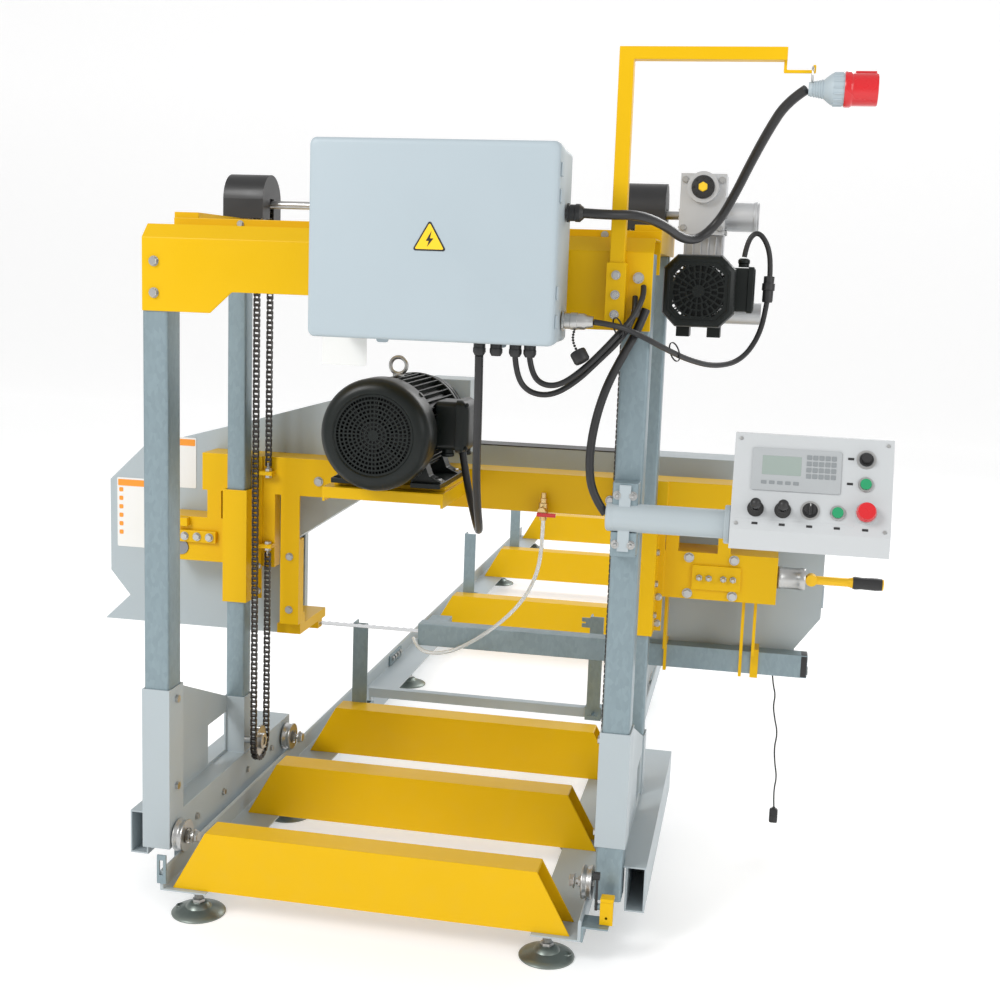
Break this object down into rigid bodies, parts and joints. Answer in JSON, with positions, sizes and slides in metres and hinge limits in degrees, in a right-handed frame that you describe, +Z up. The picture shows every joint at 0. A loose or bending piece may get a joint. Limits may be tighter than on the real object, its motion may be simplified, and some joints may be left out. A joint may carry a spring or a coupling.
{
  "type": "horizontal band sawmill",
  "caption": "Rail-mounted band sawmill: a four-post gantry rolls over a log bed and carries a chain-lifted saw head with two covered band wheels, a guide arm and a control desk.",
  "frame": {"origin": "on the floor, at the centre of the four anchor holes of the corner feet", "axes": "+X right across the track, +Y along the rails away from the operator's desk, +Z up"},
  "size_m": [2.122, 4.8688, 1.946],
  "materials": {
    "yellow_paint": "powder coated, satin",
    "light_grey_paint": "powder coated, satin",
    "galvanised_steel": "galvanised, dull",
    "bare_steel": "machined, lightly oiled",
    "band_wheel_iron": "turned rim, painted web",
    "blade_steel": "ground",
    "black_plastic": "moulded, matte",
    "cabinet_plastic": "moulded, fine grain",
    "panel_grey": "fine texture powder coat",
    "green_button": "gloss",
    "red_button": "gloss",
    "gearbox_aluminium": "die cast",
    "motor_housing": "painted, satin",
    "belt_rubber": "matte",
    "cable_black": "PVC sheath",
    "red_plug": "moulded"
  },
  "bodies": {
    "bed": {"rails": "light_grey_paint", "bunks": "yellow_paint", "bed_fittings": "galvanised_steel", "levelling_feet": "galvanised_steel", "clamp_rail": "light_grey_paint"},
    "stop_1": {"log_stop_1": "galvanised_steel"},
    "stop_2": {"log_stop_2": "galvanised_steel"},
    "stop_3": {"log_stop_3": "galvanised_steel"},
    "clamp": {"clamp_post": "galvanised_steel"},
    "switch_lever": {"limit_lever": "black_plastic"},
    "gantry": {"side_bases": "light_grey_paint", "posts": "galvanised_steel", "front_beam": "yellow_paint", "top_frame": "yellow_paint", "frame_fasteners": "galvanised_steel", "cabinet_box": "cabinet_plastic", "cabinet_fittings": "black_plastic", "panel_arm": "light_grey_paint", "panel_box": "panel_grey", "cable_mast": "yellow_paint", "lift_gearbox": "gearbox_aluminium", "lift_motor": "motor_housing", "chain_covers": "black_plastic", "lift_chains": "bare_steel", "mains_plug": "red_plug", "gantry_cables": "cable_black", "pendant_box": "black_plastic"},
    "front_wheels": {"front_rail_wheels": "bare_steel"},
    "rear_wheels": {"rear_rail_wheels": "bare_steel"},
    "cabinet_lid": {"cabinet_door": "cabinet_plastic"},
    "start": {"start_button": "green_button"},
    "reset": {"reset_button": "green_button"},
    "stop": {"stop_button": "red_button"},
    "selector": {"mode_selector": "black_plastic"},
    "knob": {"speed_knob": "black_plastic"},
    "stick_left": {"joystick_left": "black_plastic"},
    "stick_right": {"joystick_right": "black_plastic"},
    "top_shaft": {"lift_shaft": "bare_steel"},
    "bottom_sprockets": {"lower_sprockets": "bare_steel"},
    "head": {"head_frame": "yellow_paint", "main_motor": "motor_housing", "drive_belt": "belt_rubber", "saw_blade": "blade_steel", "left_cover": "light_grey_paint", "right_cover": "light_grey_paint", "fixed_guide": "yellow_paint", "head_fittings": "galvanised_steel", "head_chain_lower": "bare_steel", "head_chain_upper": "bare_steel", "motor_cable": "cable_black", "water_hose": "cable_black", "pendant_cable": "cable_black"},
    "motor_rotor": {"motor_pulley": "bare_steel"},
    "drive": {"drive_wheel": "band_wheel_iron"},
    "tension": {"tension_slide": "bare_steel"},
    "idler": {"idler_wheel": "band_wheel_iron"},
    "lever": {"tension_lever": "yellow_paint"},
    "door_left": {"left_door": "light_grey_paint"},
    "door_right": {"right_door": "light_grey_paint"},
    "arm": {"guide_arm": "galvanised_steel"}
  },
  "joints": [
    {"name": "gantry_travel", "type": "slide", "parent": "bed", "child": "gantry", "axis": [0, 1, 0], "range_m": [0, 3.7]},
    {"name": "front_wheel_roll", "type": "hinge", "parent": "gantry", "child": "front_wheels", "pos_m": [0, -2.234, 0.148], "axis": [1, 0, 0], "continuous": true},
    {"name": "rear_wheel_roll", "type": "hinge", "parent": "gantry", "child": "rear_wheels", "pos_m": [0, -1.488, 0.148], "axis": [1, 0, 0], "continuous": true},
    {"name": "head_lift", "type": "slide", "parent": "gantry", "child": "head", "axis": [0, 0, 1], "range_m": [-0.22, 0.18], "deforming": ["head_chain_lower", "head_chain_upper", "pendant_cable", "motor_cable"]},
    {"name": "lift_shaft_turn", "type": "hinge", "parent": "gantry", "child": "top_shaft", "pos_m": [0, -1.782, 1.643], "axis": [1, 0, 0], "continuous": true},
    {"name": "lower_sprocket_turn", "type": "hinge", "parent": "gantry", "child": "bottom_sprockets", "pos_m": [0, -1.782, 0.234], "axis": [1, 0, 0], "continuous": true},
    {"name": "drive_wheel_spin", "type": "hinge", "parent": "head", "child": "drive", "pos_m": [-0.714, -1.47, 0.735], "axis": [0, 1, 0], "continuous": true},
    {"name": "motor_spin", "type": "hinge", "parent": "head", "child": "motor_rotor", "pos_m": [-0.07, -1.592, 1.114], "axis": [0, 1, 0], "continuous": true},
    {"name": "tension_travel", "type": "slide", "parent": "head", "child": "tension", "axis": [1, 0, 0], "range_m": [-0.015, 0]},
    {"name": "idler_wheel_spin", "type": "hinge", "parent": "tension", "child": "idler", "pos_m": [0.714, -1.47, 0.735], "axis": [0, 1, 0], "continuous": true},
    {"name": "tension_lever_throw", "type": "hinge", "parent": "tension", "child": "lever", "pos_m": [0.95, -1.667, 0.76], "axis": [0, 1, 0], "range_deg": [0, 80]},
    {"name": "guide_arm_travel", "type": "slide", "parent": "head", "child": "arm", "axis": [1, 0, 0], "range_m": [-0.25, 0.3]},
    {"name": "left_door_hinge", "type": "hinge", "parent": "head", "child": "door_left", "pos_m": [-0.99, -1.491, 0.76], "axis": [0, 0, 1], "range_deg": [0, 110]},
    {"name": "right_door_hinge", "type": "hinge", "parent": "head", "child": "door_right", "pos_m": [0.99, -1.491, 0.76], "axis": [0, 0, -1], "range_deg": [0, 110]},
    {"name": "cabinet_door_hinge", "type": "hinge", "parent": "gantry", "child": "cabinet_lid", "pos_m": [-0.107, -2.4635, 1.547], "axis": [0, 0, -1], "range_deg": [0, 110]},
    {"name": "start_press", "type": "slide", "parent": "gantry", "child": "start", "axis": [0, 0.9281, -0.3722], "range_m": [0, 0.003], "stiffness_N_per_m": 600, "springref_m": -0.002},
    {"name": "reset_press", "type": "slide", "parent": "gantry", "child": "reset", "axis": [0, 0.9281, -0.3722], "range_m": [0, 0.003], "stiffness_N_per_m": 600, "springref_m": -0.002},
    {"name": "stop_press", "type": "slide", "parent": "gantry", "child": "stop", "axis": [0, 0.9281, -0.3722], "range_m": [0, 0.005]},
    {"name": "selector_turn", "type": "hinge", "parent": "gantry", "child": "selector", "pos_m": [0.909, -2.34769, 1.0417], "axis": [0, -0.9281, 0.3722], "range_deg": [-45, 45]},
    {"name": "speed_knob_turn", "type": "hinge", "parent": "gantry", "child": "knob", "pos_m": [1.014, -2.306, 1.14565], "axis": [0, -0.9281, 0.3722], "range_deg": [-135, 135]},
    {"name": "left_stick_tilt", "type": "hinge", "parent": "gantry", "child": "stick_left", "pos_m": [0.801, -2.35605, 1.04182], "axis": [1, 0, 0], "range_deg": [-20, 20], "stiffness_Nm_per_rad": 0.8},
    {"name": "right_stick_tilt", "type": "hinge", "parent": "gantry", "child": "stick_right", "pos_m": [0.855, -2.35605, 1.04182], "axis": [1, 0, 0], "range_deg": [-20, 20], "stiffness_Nm_per_rad": 0.8},
    {"name": "limit_lever_swing", "type": "hinge", "parent": "bed", "child": "switch_lever", "pos_m": [0.514, -2.321, 0.134], "axis": [1, 0, 0], "range_deg": [-20, 20], "stiffness_Nm_per_rad": 0.8},
    {"name": "log_stop_1_drop", "type": "slide", "parent": "bed", "child": "stop_1", "axis": [0, 0, 1], "range_m": [-0.16, 0]},
    {"name": "log_stop_2_drop", "type": "slide", "parent": "bed", "child": "stop_2", "axis": [0, 0, 1], "range_m": [-0.16, 0]},
    {"name": "log_stop_3_drop", "type": "slide", "parent": "bed", "child": "stop_3", "axis": [0, 0, 1], "range_m": [-0.16, 0]},
    {"name": "clamp_travel", "type": "slide", "parent": "bed", "child": "clamp", "axis": [1, 0, 0], "range_m": [-0.25, 0]}
  ],
  "couplings": [
    {"joint": "front_wheel_roll", "follows": "gantry_travel", "rad_per_m": -28.818},
    {"joint": "rear_wheel_roll", "follows": "gantry_travel", "rad_per_m": -28.818},
    {"joint": "lift_shaft_turn", "follows": "head_lift", "rad_per_m": 21.459},
    {"joint": "lower_sprocket_turn", "follows": "head_lift", "rad_per_m": 21.459},
    {"joint": "motor_spin", "follows": "drive_wheel_spin", "ratio": 1.7742},
    {"joint": "idler_wheel_spin", "follows": "drive_wheel_spin", "ratio": 1},
    {"joint": "tension_lever_throw", "follows": "tension_travel", "rad_per_m": -93.08}
  ]
}
